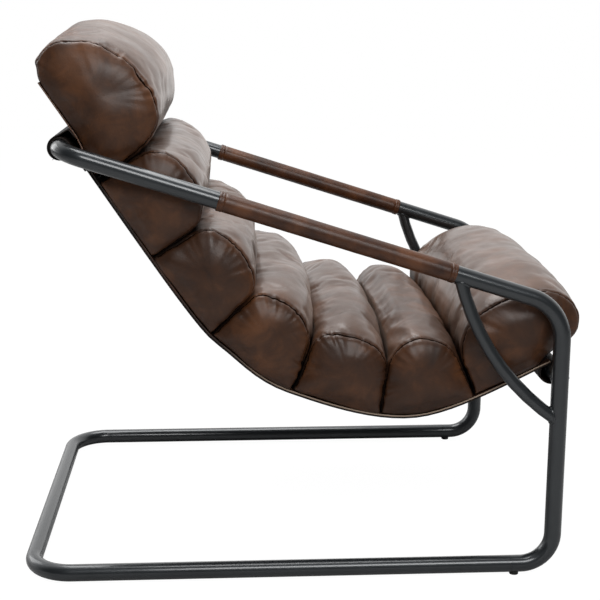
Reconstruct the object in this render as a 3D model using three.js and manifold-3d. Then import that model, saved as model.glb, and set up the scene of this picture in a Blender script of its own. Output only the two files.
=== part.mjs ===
// Leather sling lounge chair: a bent round-tube frame that carries a hanging leather sling,
// with channel-tufted leather rolls on the sling and leather sleeves on the arms.
// Millimetres, +Z up. The sitter faces -Y, and the sitter's right side is -X.
import * as THREE from "three";
import { mergeVertices } from "three/addons/utils/BufferGeometryUtils.js";
import Module from "manifold-3d";

const wasm = await Module();
wasm.setup();

// Frame tube
const tubeDiameter = 25.4;
const tubeWall = 2;
const sideSpacing = 626; // between the axes of the two side tubes
const legForward = 786; // from the rear floor bar's axis to the leg's axis
const topBarForward = 65; // from the rear floor bar's axis to the top bar's axis
const topBarRise = 627.4; // above the floor rails' axis
const armFrontRise = 398.6; // where the arm's axis meets the leg's axis
const frontBarRise = 291;
const floorCornerRadius = 64;
const legFootRadius = 48;
const armFrontRadius = 68;
const armRearRadius = 38;

// Knock-down joints, each with a spigot inside the two tube ends
const jointStraight = 16; // straight tube between a bend and its joint
const spigotLength = 70;
const screwSetback = 7; // from the joint to its screw
const screwShankDiameter = 5;
const screwHeadDiameter = 8;
const screwHeadHeight = 1.6;
const screwDepth = 9; // how far a screw reaches into its spigot
const holeClearance = 0.3;

// Curved braces between arm and leg
const braceDiameter = 19;
const braceWall = 2;
const braceArmSetback = 153.5; // from the leg's axis to the brace on the arm
const braceLegDrop = 173; // from the arm corner down to the brace on the leg
const braceCurveRadius = 369;

// Floor glides
const glideDiameter = 14;
const glideHeight = 3.5;
const glideRecess = 2.4;
const glideStemDiameter = 6;
const glideStemLength = 5;
const rearGlideInset = 100; // from the side tube's axis

// Arm sleeves
const sleeveThickness = 1;
const sleeveRearForward = 287;
const sleeveToBrace = 6.5;

// Sling: one leather sheet that laps round the top bar and the front bar
const slingThickness = 2.5;
const slingInset = 36; // from a side tube's axis to the sling's edge
const slingSag = 192; // the sling's depth below a straight line between the bars
const sagShares = [[0.315, 0.705], [0.424, 0.9], [0.565, 1], [0.803, 0.772]];
const hemLap = 26;
const topWrapAngle = 245;
const frontWrapAngle = 145;
const frontLoopReach = 20.5; // how far behind the front bar's axis the slack loop hangs
const frontLoopDrop = 18.3; // how far below the axis it hangs

// Underside of the cushion, and the loop that holds it on the top bar
const coverThickness = 2;
const headrestLift = 12; // how far the headrest's underside stands off the sling's line
const liftEnd = 60;
const loopLap = 22;
const loopStartAngle = 275;
const loopEndAngle = 112;

// Channel rolls. A place along the sling is measured from where it leaves the top bar.
const channelShares = [0.0775, 0.2255, 0.381, 0.547, 0.698, 0.864];
const channelRises = [118, 114, 113, 111, 120];
const shoulderRise = 70; // the height up to which neighbouring rolls touch
const archFrontPower = 2.1; // the arch of a roll on its front side, 2 for an ellipse
const archBackPower = 2.5; // its back side is squarer
const rollGap = 2;
const channelCrowns = [13, 16, 26, 30, 26]; // how much fuller each is at the middle of the chair
const crownPower = 5; // a high power keeps the crown level across the chair
const valleyLeans = [0, 0, 6, 14, 12, 8]; // how far the valleys lean forward at the middle
const panelBulge = 13; // how far the sewn end panels stand out
const headrestBack = 123; // the headrest's reach behind the sling's start
const headrestRise = 140;
const headrestCrown = 24;
const headrestCrownPower = 2.4;
const headrestSwell = 22;
const frontRollOverhang = 67;
const frontRollRise = 120;
const frontRollCrown = 20;
const frontRollSwell = 6;

// Outlines as shares of a roll's length and rise, from the underside round to the start
const headrestShares = [
  [0.985, 0.48], [0.96, 0.66], [0.91, 0.82], [0.8, 0.94], [0.64, 1], [0.46, 0.985],
  [0.28, 0.89], [0.12, 0.74], [0.02, 0.52], [0, 0.36], [0.05, 0.2],
];
const headrestBaseShares = [0.17, 0.95];
const frontRollShares = [
  [0.66, 0.13], [0.88, 0.2], [0.985, 0.4], [0.97, 0.66], [0.83, 0.88], [0.6, 0.975],
  [0.4, 1], [0.16, 0.88], [0, 0.56],
];
const frontRollBaseShares = [0, 0.54];

// The slack loop under the front bar, as shares of its reach back from the axis and its drop
const frontLoopShares = [[-0.24, 0.89], [0.2, 1], [0.64, 0.85], [1, 0.45]];

// Clearance between two pieces that touch on the real chair
const seatGap = 0.3;

// Facets
const tubeSides = 16;
const smallSides = 12;
const bendSteps = 6;
const braceSteps = 7;
const wrapSteps = 14;
const sagSteps = 50;
const hemSteps = 6;
const archSteps = 14;
const widthShares = [-1, -0.92, -0.78, -0.55, -0.28, 0, 0.28, 0.55, 0.78, 0.92, 1];
const panelShares = [0.88, 0.62, 0.3];

// Sizes that follow from the ones above
const tubeRadius = tubeDiameter / 2;
const boreRadius = tubeRadius - tubeWall;
const spigotRadius = boreRadius - seatGap;
const braceRadius = braceDiameter / 2;
const halfSpacing = sideSpacing / 2;
const railHeight = glideHeight + tubeRadius;
const topBarHeight = railHeight + topBarRise;
const armFrontHeight = railHeight + armFrontRise;
const frontBarHeight = railHeight + frontBarRise;
const floorJointForward = legForward - legFootRadius - jointStraight;
const topJointX = halfSpacing - armRearRadius - jointStraight;
const spigotReach = jointStraight - seatGap; // from the joint towards the bend
const halfSling = halfSpacing - slingInset;

const steel = new THREE.MeshStandardMaterial({ color: 0x35393b, roughness: 0.42, metalness: 0.85 });
const zinc = new THREE.MeshStandardMaterial({ color: 0x8b8d8e, roughness: 0.35, metalness: 1 });
const leather = new THREE.MeshStandardMaterial({ color: 0x4a3226, roughness: 0.4, metalness: 0 });
const sleeveLeather = new THREE.MeshStandardMaterial({ color: 0x4b2f25, roughness: 0.45, metalness: 0 });
const slingLeather = new THREE.MeshStandardMaterial({ color: 0x1d1715, roughness: 0.6, metalness: 0 });
const nylon = new THREE.MeshStandardMaterial({ color: 0x141414, roughness: 0.6, metalness: 0 });

const chair = new THREE.Group();

function addPiece(name, geometry, material) {
  const piece = new THREE.Mesh(geometry, material);
  piece.name = name;
  chair.add(piece);
  return piece;
}

// A point of the chair: x to the sitter's left, then forward, then height above the floor
function place(x, forward, height) {
  return new THREE.Vector3(x, -forward, height);
}

function toSolid(geometry) {
  const bare = geometry.clone();
  bare.deleteAttribute("normal");
  bare.deleteAttribute("uv");
  const merged = mergeVertices(bare);
  const mesh = new wasm.Mesh({
    numProp: 3,
    vertProperties: new Float32Array(merged.attributes.position.array),
    triVerts: new Uint32Array(merged.index.array),
  });
  return new wasm.Manifold(mesh);
}

function toGeometry(solid) {
  const mesh = solid.getMesh();
  const geometry = new THREE.BufferGeometry();
  geometry.setAttribute("position", new THREE.BufferAttribute(mesh.vertProperties, 3));
  geometry.setIndex(new THREE.BufferAttribute(mesh.triVerts, 1));
  return geometry;
}

function cutFrom(geometry, cutters) {
  let solid = toSolid(geometry);
  for (const cutter of cutters) solid = solid.subtract(toSolid(cutter));
  return toGeometry(solid);
}

// Bent tube: stations with a direction each, so that a straight run needs only its two ends
class TubePath extends THREE.Curve {
  constructor(stations) {
    super();
    this.stations = stations;
  }

  station(share) {
    return this.stations[Math.round(share * (this.stations.length - 1))];
  }

  getPointAt(share) {
    return this.station(share).point.clone();
  }

  getTangentAt(share) {
    return this.station(share).direction.clone();
  }
}

function bendStations(before, corner, after, radius) {
  const incoming = corner.clone().sub(before).normalize();
  const outgoing = after.clone().sub(corner).normalize();
  const turn = incoming.angleTo(outgoing);
  const inward = outgoing.clone().addScaledVector(incoming, -incoming.dot(outgoing)).normalize();
  const start = corner.clone().addScaledVector(incoming, -radius * Math.tan(turn / 2));
  const centre = start.clone().addScaledVector(inward, radius);
  const stations = [];
  for (let step = 0; step <= bendSteps; step += 1) {
    const angle = (turn * step) / bendSteps;
    const outward = inward.clone().multiplyScalar(-Math.cos(angle));
    outward.addScaledVector(incoming, Math.sin(angle));
    const direction = incoming.clone().multiplyScalar(Math.cos(angle));
    direction.addScaledVector(inward, Math.sin(angle));
    stations.push({ point: centre.clone().addScaledVector(outward, radius), direction });
  }
  return stations;
}

function tubeStations(points, radii) {
  const last = points.length - 1;
  const stations = [{ point: points[0], direction: points[1].clone().sub(points[0]).normalize() }];
  for (let i = 1; i < last; i += 1) {
    stations.push(...bendStations(points[i - 1], points[i], points[i + 1], radii[i - 1]));
  }
  const direction = points[last].clone().sub(points[last - 1]).normalize();
  stations.push({ point: points[last], direction });
  return stations;
}

function circlePoints(radius, sides) {
  const points = [];
  for (let i = 0; i < sides; i += 1) {
    const angle = (2 * Math.PI * i) / sides;
    points.push(new THREE.Vector2(radius * Math.cos(angle), radius * Math.sin(angle)));
  }
  return points;
}

function sweep(stations, outerRadius, innerRadius, sides) {
  const section = new THREE.Shape(circlePoints(outerRadius, sides));
  if (innerRadius > 0) section.holes.push(new THREE.Path(circlePoints(innerRadius, sides)));
  const path = new TubePath(stations);
  return new THREE.ExtrudeGeometry(section, { steps: stations.length - 1, extrudePath: path });
}

function straightRod(from, to, outerRadius, innerRadius, sides) {
  return sweep(tubeStations([from, to], []), outerRadius, innerRadius, sides);
}

// Floor tube: one U of tube, two rails and the rear bar
function floorTubeStations() {
  const points = [
    place(-halfSpacing, floorJointForward, railHeight),
    place(-halfSpacing, 0, railHeight),
    place(halfSpacing, 0, railHeight),
    place(halfSpacing, floorJointForward, railHeight),
  ];
  return tubeStations(points, [floorCornerRadius, floorCornerRadius]);
}

// Side tube: from the floor joint round the foot, up the leg, back along the arm and in to the top joint
function sideTubeStations(side) {
  const x = side * halfSpacing;
  const points = [
    place(x, floorJointForward + seatGap, railHeight),
    place(x, legForward, railHeight),
    place(x, legForward, armFrontHeight),
    place(x, topBarForward, topBarHeight),
    place(side * (topJointX + seatGap), topBarForward, topBarHeight),
  ];
  return tubeStations(points, [legFootRadius, armFrontRadius, armRearRadius]);
}

// A point on the arm's axis
function armPoint(side, forward) {
  const share = (forward - topBarForward) / (legForward - topBarForward);
  const height = topBarHeight + share * (armFrontHeight - topBarHeight);
  return place(side * halfSpacing, forward, height);
}

function braceStations(side) {
  const onArm = armPoint(side, legForward - braceArmSetback);
  const onLeg = place(side * halfSpacing, legForward, armFrontHeight - braceLegDrop);
  const middle = onArm.clone().add(onLeg).multiplyScalar(1 / 2);
  const chord = onLeg.clone().sub(onArm);
  const toCentre = new THREE.Vector3(0, chord.z, -chord.y).normalize();
  const reach = Math.sqrt(braceCurveRadius ** 2 - chord.lengthSq() / 4);
  const centre = middle.addScaledVector(toCentre, reach);
  const startArm = onArm.clone().sub(centre);
  const turn = startArm.angleTo(onLeg.clone().sub(centre));
  const axis = startArm.clone().cross(onLeg.clone().sub(centre)).normalize();
  const stations = [];
  for (let step = 0; step <= braceSteps; step += 1) {
    const arm = startArm.clone().applyAxisAngle(axis, (turn * step) / braceSteps);
    const direction = axis.clone().cross(arm).normalize();
    stations.push({ point: centre.clone().add(arm), direction });
  }
  return stations;
}

// Screws point up into the underside of the tube that they hold
function screwPlace(side, height) {
  return place(side * halfSpacing, floorJointForward + screwSetback, height);
}

function screwGeometry() {
  const tip = screwHeadHeight + glideHeight + tubeWall + screwDepth - glideRecess;
  const profile = [
    new THREE.Vector2(0, 0),
    new THREE.Vector2(screwHeadDiameter / 2, 0),
    new THREE.Vector2(screwHeadDiameter / 2, screwHeadHeight),
    new THREE.Vector2(screwShankDiameter / 2, screwHeadHeight),
    new THREE.Vector2(screwShankDiameter / 2, tip),
    new THREE.Vector2(0, tip),
  ];
  const geometry = new THREE.LatheGeometry(profile, smallSides);
  geometry.rotateX(Math.PI / 2);
  return geometry;
}

function shaft(base, radius, length) {
  return straightRod(base, base.clone().add(place(0, 0, length)), radius, 0, smallSides);
}

function addFrame() {
  const holeRadius = screwShankDiameter / 2 + holeClearance;
  const stemHoleRadius = glideStemDiameter / 2 + holeClearance;
  const holeDepth = railHeight - glideHeight;
  const stemHoles = [-1, 1].map((side) => {
    const base = place(side * (halfSpacing - rearGlideInset), 0, glideHeight - tubeWall);
    return shaft(base, stemHoleRadius, holeDepth);
  });
  const floorTube = sweep(floorTubeStations(), tubeRadius, boreRadius, tubeSides);
  addPiece("floor_tube", cutFrom(floorTube, stemHoles), steel);

  const topBar = straightRod(
    place(-topJointX, topBarForward, topBarHeight),
    place(topJointX, topBarForward, topBarHeight),
    tubeRadius, boreRadius, tubeSides,
  );
  addPiece("top_cross_tube", topBar, steel);

  for (const [side, name] of [[-1, "right"], [1, "left"]]) {
    const stations = sideTubeStations(side);
    const envelope = sweep(stations, tubeRadius + seatGap, 0, tubeSides);
    const screwHole = shaft(screwPlace(side, glideHeight - tubeWall), holeRadius, holeDepth);
    const setScrewX = side * (topJointX + screwSetback);
    const setScrewBase = place(setScrewX, topBarForward, topBarHeight - tubeRadius);
    const belowTube = setScrewBase.clone().add(place(0, 0, -tubeWall));
    const setScrewHole = shaft(belowTube, holeRadius, tubeRadius + tubeWall - seatGap);
    const sideTube = sweep(stations, tubeRadius, boreRadius, tubeSides);
    addPiece(`${name}_side_tube`, cutFrom(sideTube, [screwHole, setScrewHole]), steel);

    const brace = sweep(braceStations(side), braceRadius, braceRadius - braceWall, tubeSides);
    addPiece(`${name}_brace`, cutFrom(brace, [envelope]), steel);

    const floorSpigot = straightRod(
      place(side * halfSpacing, floorJointForward + spigotReach - spigotLength, railHeight),
      place(side * halfSpacing, floorJointForward + spigotReach, railHeight),
      spigotRadius, 0, tubeSides,
    );
    addPiece(`${name}_floor_spigot`, cutFrom(floorSpigot, [screwHole]), zinc);

    const topSpigot = straightRod(
      place(side * (topJointX + spigotReach - spigotLength), topBarForward, topBarHeight),
      place(side * (topJointX + spigotReach), topBarForward, topBarHeight),
      spigotRadius, 0, tubeSides,
    );
    addPiece(`${name}_top_spigot`, cutFrom(topSpigot, [setScrewHole]), zinc);

    const setScrewStart = setScrewBase.clone().add(place(0, 0, seatGap));
    const setScrew = shaft(setScrewStart, screwShankDiameter / 2, tubeRadius - seatGap * 3);
    addPiece(`${name}_top_set_screw`, setScrew, zinc);

    const floorScrew = screwGeometry();
    const screwSeat = screwPlace(side, glideRecess - screwHeadHeight - seatGap);
    floorScrew.translate(screwSeat.x, screwSeat.y, screwSeat.z);
    addPiece(`${name}_floor_screw`, floorScrew, zinc);
  }

  const legEnvelopes = [-1, 1].map((side) => (
    sweep(sideTubeStations(side), tubeRadius + seatGap, 0, tubeSides)
  ));
  const frontBar = straightRod(
    place(-halfSpacing, legForward, frontBarHeight),
    place(halfSpacing, legForward, frontBarHeight),
    tubeRadius, boreRadius, tubeSides,
  );
  addPiece("front_cross_tube", cutFrom(frontBar, legEnvelopes), steel);
}

// Glides: nylon pads hollowed to the tube. The front ones take the joint screws, the rear ones a stem.
function addGlides() {
  const floorEnvelope = sweep(floorTubeStations(), tubeRadius + seatGap, 0, tubeSides);
  for (const [side, name] of [[-1, "right"], [1, "left"]]) {
    const frontPlace = screwPlace(side, 0);
    const railEnvelope = straightRod(
      frontPlace.clone().add(place(0, -glideDiameter, railHeight)),
      frontPlace.clone().add(place(0, glideDiameter, railHeight)),
      tubeRadius + seatGap, 0, tubeSides,
    );
    const frontPad = shaft(frontPlace, glideDiameter / 2, railHeight - tubeRadius / 2);
    const bore = shaft(
      frontPlace.clone().add(place(0, 0, -tubeWall)),
      screwShankDiameter / 2 + holeClearance, railHeight,
    );
    const recess = shaft(
      frontPlace.clone().add(place(0, 0, glideRecess - railHeight)),
      screwHeadDiameter / 2 + holeClearance, railHeight,
    );
    addPiece(`${name}_front_glide`, cutFrom(frontPad, [railEnvelope, bore, recess]), nylon);

    const rearPlace = place(side * (halfSpacing - rearGlideInset), 0, 0);
    const rearBlank = shaft(rearPlace, glideDiameter / 2, railHeight - tubeRadius / 2);
    const rearPad = cutFrom(rearBlank, [floorEnvelope]);
    const stem = shaft(
      rearPlace.clone().add(place(0, 0, glideHeight / 2)),
      glideStemDiameter / 2, glideHeight / 2 + glideStemLength,
    );
    addPiece(`${name}_rear_glide`, toGeometry(toSolid(rearPad).add(toSolid(stem))), nylon);
  }
}

function addSleeves() {
  const inner = tubeRadius + seatGap;
  const frontForward = legForward - braceArmSetback - sleeveToBrace;
  for (const [side, name] of [[-1, "right"], [1, "left"]]) {
    const sleeve = straightRod(
      armPoint(side, sleeveRearForward), armPoint(side, frontForward),
      inner + sleeveThickness, inner, tubeSides,
    );
    addPiece(`${name}_arm_sleeve`, sleeve, sleeveLeather);
  }
}

// The side view, as forward and height
const topBarAxis = new THREE.Vector2(topBarForward, topBarHeight);
const frontBarAxis = new THREE.Vector2(legForward, frontBarHeight);
const slingWrapRadius = tubeRadius + seatGap + slingThickness / 2;

// Where a line from an outside point touches a circle
function tangentPoint(circleCentre, radius, from, turnSide) {
  const toPoint = from.clone().sub(circleCentre);
  const angle = toPoint.angle() + turnSide * Math.acos(radius / toPoint.length());
  return circleCentre.clone().add(new THREE.Vector2(Math.cos(angle), Math.sin(angle)).multiplyScalar(radius));
}

function makeSagCurve() {
  const chord = frontBarAxis.clone().sub(topBarAxis);
  const below = new THREE.Vector2(chord.y, -chord.x).normalize();
  const hanging = sagShares.map(([alongShare, sagShare]) => (
    topBarAxis.clone().addScaledVector(chord, alongShare).addScaledVector(below, sagShare * slingSag)
  ));
  const start = tangentPoint(topBarAxis, slingWrapRadius, hanging[0], 1);
  const end = tangentPoint(frontBarAxis, slingWrapRadius, hanging[hanging.length - 1], -1);
  return new THREE.SplineCurve([start, ...hanging, end]);
}

const sagCurve = makeSagCurve();
const slingLength = sagCurve.getLength();
const valleys = channelShares.map((share) => share * slingLength);

// A point at a distance along the sling and a rise above its middle surface, on the sitter's side
function onSling(along, rise) {
  const share = THREE.MathUtils.clamp(along / slingLength, 0, 1);
  const direction = sagCurve.getTangentAt(share);
  const point = sagCurve.getPointAt(share).addScaledVector(direction, along - share * slingLength);
  return point.addScaledVector(new THREE.Vector2(-direction.y, direction.x), rise);
}

// Distances along the sling between two places, at stations that all layers share
function sharedStations(from, to) {
  const spacing = slingLength / sagSteps;
  const stations = [from];
  for (let step = Math.floor(from / spacing) + 1; step * spacing < to; step += 1) {
    const along = step * spacing;
    if (along - from > spacing / 4 && to - along > spacing / 4) stations.push(along);
  }
  stations.push(to);
  return stations;
}

// Both sides of a sheet whose middle line is given
function sheetOutline(line, thickness) {
  const front = [];
  const back = [];
  line.forEach((point, i) => {
    const before = line[Math.max(i - 1, 0)];
    const after = line[Math.min(i + 1, line.length - 1)];
    const direction = after.clone().sub(before).normalize();
    const normal = new THREE.Vector2(-direction.y, direction.x).multiplyScalar(thickness / 2);
    front.push(point.clone().add(normal));
    back.push(point.clone().sub(normal));
  });
  return [...back, ...front.reverse()];
}

// A side view outline drawn out across the chair
function acrossChair(outline, halfWidth) {
  const geometry = new THREE.ExtrudeGeometry(new THREE.Shape(outline), {
    depth: 2 * halfWidth, steps: 1, bevelEnabled: false,
  });
  geometry.translate(0, 0, -halfWidth);
  const toChair = new THREE.Matrix4().makeBasis(
    new THREE.Vector3(0, -1, 0), new THREE.Vector3(0, 0, 1), new THREE.Vector3(-1, 0, 0),
  );
  return geometry.applyMatrix4(toChair);
}

function arcPoints(centre, radius, startAngle, turn, steps) {
  const points = [];
  for (let step = 0; step <= steps; step += 1) {
    const angle = startAngle + (turn * step) / steps;
    const outward = new THREE.Vector2(Math.cos(angle), Math.sin(angle));
    points.push(centre.clone().addScaledVector(outward, radius));
  }
  return points;
}

// The top end: round the bar, then back against the sheet's underside, where it is sewn down
function sewnWrapLine(sheetStart, sheetDirection) {
  const startAngle = sheetStart.clone().sub(topBarAxis).angle();
  const turn = THREE.MathUtils.degToRad(topWrapAngle);
  const wrap = arcPoints(topBarAxis, slingWrapRadius, startAngle, turn, wrapSteps);
  const leaving = wrap[wrapSteps];
  const leavingDirection = leaving.clone().sub(topBarAxis).rotateAround(new THREE.Vector2(), Math.PI / 2);
  leavingDirection.normalize();
  const inward = topBarAxis.clone().sub(sheetStart).normalize();
  const hemOffset = slingThickness + seatGap;
  const toHemLine = leaving.clone().sub(sheetStart).dot(inward) - hemOffset;
  const run = toHemLine / -leavingDirection.dot(inward);
  const corner = leaving.clone().addScaledVector(leavingDirection, run);
  const hemEnd = corner.clone().addScaledVector(sheetDirection, hemLap);
  const hem = new THREE.QuadraticBezierCurve(leaving, corner, hemEnd).getPoints(hemSteps);
  return [...wrap, ...hem.slice(1)];
}

// The front end: round the bar's top and front, then slack below it, and up to the sheet again
function slackWrapLine(sheetStart, sheetDirection) {
  const startAngle = sheetStart.clone().sub(frontBarAxis).angle();
  const turn = THREE.MathUtils.degToRad(-frontWrapAngle);
  const wrap = arcPoints(frontBarAxis, slingWrapRadius, startAngle, turn, wrapSteps);
  const slack = frontLoopShares.map(([reachShare, dropShare]) => (
    frontBarAxis.clone().add(new THREE.Vector2(-reachShare * frontLoopReach, -dropShare * frontLoopDrop))
  ));
  const inward = frontBarAxis.clone().sub(sheetStart).normalize();
  const underSheet = sheetStart.clone().addScaledVector(inward, slingThickness + seatGap);
  const run = (frontBarAxis.x - frontLoopReach - underSheet.x) / sheetDirection.x;
  const closing = underSheet.addScaledVector(sheetDirection, run);
  const loop = new THREE.SplineCurve([wrap[wrapSteps], ...slack, closing]).getPoints(2 * hemSteps);
  return [...wrap, ...loop.slice(1)];
}

function addSling() {
  const start = sagCurve.getPointAt(0);
  const end = sagCurve.getPointAt(1);
  const topWrap = sewnWrapLine(start, sagCurve.getTangentAt(0));
  const frontWrap = slackWrapLine(end, sagCurve.getTangentAt(1).negate());
  const sag = sharedStations(0, slingLength).slice(1, -1).map((along) => onSling(along, 0));
  const line = [...topWrap.reverse(), ...sag, ...frontWrap];
  addPiece("sling", acrossChair(sheetOutline(line, slingThickness), halfSling), slingLeather);
}

// The cushion's underside lies on the sling, and lifts off it under the headrest
const coverRise = slingThickness / 2 + seatGap + coverThickness / 2;

function coverLift(along) {
  const share = THREE.MathUtils.clamp((liftEnd - along) / liftEnd, 0, 1);
  return headrestLift * THREE.MathUtils.smoothstep(share, 0, 1);
}

function rollBase(along) {
  return coverRise + coverLift(along) + coverThickness / 2 + seatGap;
}

function addCushionUnderside() {
  const from = headrestBaseShares[0] * (headrestBack + channelShares[0] * slingLength) - headrestBack;
  const line = sharedStations(from, slingLength).map((along) => onSling(along, coverRise + coverLift(along)));
  addPiece("cushion_underside", acrossChair(sheetOutline(line, coverThickness), halfSling), leather);

  const loopRise = coverRise + headrestLift - coverThickness - seatGap;
  const loopRadius = slingWrapRadius + slingThickness / 2 + seatGap + coverThickness / 2;
  const startAngle = THREE.MathUtils.degToRad(loopStartAngle);
  const endAngle = THREE.MathUtils.degToRad(loopEndAngle);
  const ring = arcPoints(topBarAxis, loopRadius, startAngle, endAngle - startAngle, wrapSteps);
  const leaving = ring[wrapSteps];
  const lapStart = onSling(-loopLap, loopRise);
  const lapEnd = onSling(0, loopRise);
  const hem = new THREE.CubicBezierCurve(
    leaving,
    leaving.clone().add(new THREE.Vector2(Math.sin(endAngle), -Math.cos(endAngle)).multiplyScalar(loopLap)),
    lapStart,
    lapEnd,
  ).getPoints(2 * hemSteps);
  const loopLine = [...ring, ...hem.slice(1)];
  addPiece("hanging_loop", acrossChair(sheetOutline(loopLine, coverThickness), halfSling), leather);
}

// How much fuller the cushion is at a place across the chair, from 0 at its sewn edge to 1
function crownAt(widthShare, power) {
  return 1 - Math.abs(widthShare) ** power;
}

function riseShare(rise, crest) {
  return THREE.MathUtils.clamp((rise - shoulderRise) / (crest - shoulderRise), 0, 1);
}

// How far the rolls lean forward at a distance along the sling
function leanAt(along) {
  const last = valleys.length - 1;
  const next = valleys.findIndex((valley) => valley > along);
  if (next === 0) return valleyLeans[0];
  if (next < 0) return valleyLeans[last];
  const share = (along - valleys[next - 1]) / (valleys[next] - valleys[next - 1]);
  return THREE.MathUtils.lerp(valleyLeans[next - 1], valleyLeans[next], share);
}

// A roll's skin point: its outline's place, made fuller by the crown. Its sides lean forward
// with the valleys, and its crest stays where it is.
function rollPoint(roll, widthShare, along, rise) {
  const crown = crownAt(widthShare, roll.crownPower);
  const base = rollBase(along);
  const offBase = crown * THREE.MathUtils.clamp((rise - base) / (shoulderRise - base), 0, 1);
  const swellShare = THREE.MathUtils.clamp((along - roll.swellFrom) / (roll.swellTo - roll.swellFrom), 0, 1);
  const highShare = riseShare(rise, roll.crest);
  const lean = leanAt(along) * (1 - highShare);
  const fuller = rise + roll.crown * crown * highShare;
  const point = onSling(along + offBase * (lean + roll.swell * swellShare), fuller);
  return place(widthShare * halfSling, point.x, point.y);
}

// A ring of the sewn end panel: the outline drawn in towards its middle, standing out sideways
function panelRing(roll, side, share) {
  const middle = roll.outline.reduce((sum, point) => sum.add(point), new THREE.Vector2());
  middle.divideScalar(roll.outline.length);
  const out = panelBulge * Math.sqrt(1 - share ** 2);
  return roll.outline.map(([along, rise]) => {
    const drawn = new THREE.Vector2(along, rise).sub(middle).multiplyScalar(share).add(middle);
    const point = onSling(drawn.x, drawn.y);
    return place(side * (halfSling + out), point.x, point.y);
  });
}

function rollGeometry(roll) {
  const rings = widthShares.map((share) => (
    roll.outline.map(([along, rise]) => rollPoint(roll, share, along, rise))
  ));
  for (const share of panelShares) rings.unshift(panelRing(roll, -1, share));
  for (const share of panelShares) rings.push(panelRing(roll, 1, share));
  const count = roll.outline.length;
  const tips = [panelRing(roll, -1, 0)[0], panelRing(roll, 1, 0)[0]];
  const points = [...rings.flat(), ...tips];
  const faces = [];
  for (let ring = 0; ring < rings.length - 1; ring += 1) {
    for (let i = 0; i < count; i += 1) {
      const next = (i + 1) % count;
      const [a, b] = [ring * count + i, ring * count + next];
      const [c, d] = [a + count, b + count];
      const rises = roll.outline[i].y < roll.outline[next].y;
      // The walls on both sides of a valley split along the same diagonal, so that they stay apart
      if (rises) faces.push(a, c, b, b, c, d);
      else faces.push(a, c, d, a, d, b);
    }
  }
  const lastRing = (rings.length - 1) * count;
  const firstTip = rings.length * count;
  for (let i = 0; i < count; i += 1) {
    const next = (i + 1) % count;
    faces.push(firstTip, i, next);
    faces.push(firstTip + 1, lastRing + next, lastRing + i);
  }
  const geometry = new THREE.BufferGeometry().setFromPoints(points);
  geometry.setIndex(faces);
  return geometry;
}

// The straight underside of a roll's outline, on the cushion's underside sheet
function basePoints(from, to) {
  return sharedStations(from, to).map((along) => new THREE.Vector2(along, rollBase(along)));
}

// A channel between two valleys: straight sides up to the shoulder and a full arch above
function channelRoll(start, end, crest, crown) {
  const middle = (start + end) / 2;
  const half = (end - start) / 2;
  const outline = basePoints(start, end);
  for (let step = 0; step <= archSteps; step += 1) {
    const angle = (Math.PI * step) / archSteps;
    const power = angle < Math.PI / 2 ? archFrontPower : archBackPower;
    const reach = Math.sign(Math.cos(angle)) * Math.abs(Math.cos(angle)) ** (2 / power);
    const lift = Math.abs(Math.sin(angle)) ** (2 / power);
    outline.push(new THREE.Vector2(middle + half * reach, shoulderRise + (crest - shoulderRise) * lift));
  }
  return { outline, crest, crown, crownPower, swell: 0, swellFrom: start, swellTo: end };
}

// A roll whose outline is drawn freely through its shares, flat where it presses on its neighbour
function freeRoll(start, end, crest, shares, baseShares) {
  const length = end - start;
  const base = basePoints(start + baseShares[0] * length, start + baseShares[1] * length);
  const through = shares.map(([alongShare, riseOfCrest]) => (
    new THREE.Vector2(start + alongShare * length, riseOfCrest * crest)
  ));
  const curve = new THREE.SplineCurve([base[base.length - 1], ...through, base[0]]);
  const skin = curve.getPoints(2 * through.length + 2).slice(1, -1);
  for (const point of skin) point.x = THREE.MathUtils.clamp(point.x, start, end);
  const outline = [...base, ...skin];
  return { outline, crest };
}

function addRolls() {
  const half = rollGap / 2;
  const headStart = -headrestBack;
  const headEnd = valleys[0] - half;
  const headrest = {
    ...freeRoll(headStart, headEnd, headrestRise, headrestShares, headrestBaseShares),
    crown: headrestCrown, crownPower: headrestCrownPower,
    swell: -headrestSwell, swellFrom: headEnd, swellTo: headStart,
  };
  addPiece("headrest_roll", rollGeometry(headrest), leather);
  channelRises.forEach((crest, i) => {
    const roll = channelRoll(valleys[i] + half, valleys[i + 1] - half, crest, channelCrowns[i]);
    addPiece(`channel_roll_${i + 1}`, rollGeometry(roll), leather);
  });
  const frontStart = valleys[valleys.length - 1] + half;
  const frontEnd = slingLength + frontRollOverhang;
  const frontRoll = {
    ...freeRoll(frontStart, frontEnd, frontRollRise, frontRollShares, frontRollBaseShares),
    crown: frontRollCrown, crownPower, swell: frontRollSwell, swellFrom: frontStart, swellTo: frontEnd,
  };
  addPiece("front_roll", rollGeometry(frontRoll), leather);
}

addFrame();
addGlides();
addSleeves();
addSling();
addCushionUnderside();
addRolls();

// The origin is on the floor, under the middle of the chair's overall depth
const reach = new THREE.Box3().setFromObject(chair);
chair.position.y = -(reach.min.y + reach.max.y) / 2;
chair.updateMatrixWorld(true);

export default chair;
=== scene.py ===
# %% [markdown]
# # A leather sling lounge chair
# A bent steel tube frame carries a leather sling. On the sling lies one long cushion, sewn
# into thick rolls across the chair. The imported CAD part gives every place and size. This
# script dresses it: round tube, weld beads, stitched leather, and rolls that swell as
# stuffed leather does. All lengths are metres, the sitter faces -Y, and the floor is Z = 0.

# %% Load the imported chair
import math
import bmesh
import bpy
import numpy as np
from mathutils import Matrix, Vector, noise
from mathutils.bvhtree import BVHTree


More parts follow.
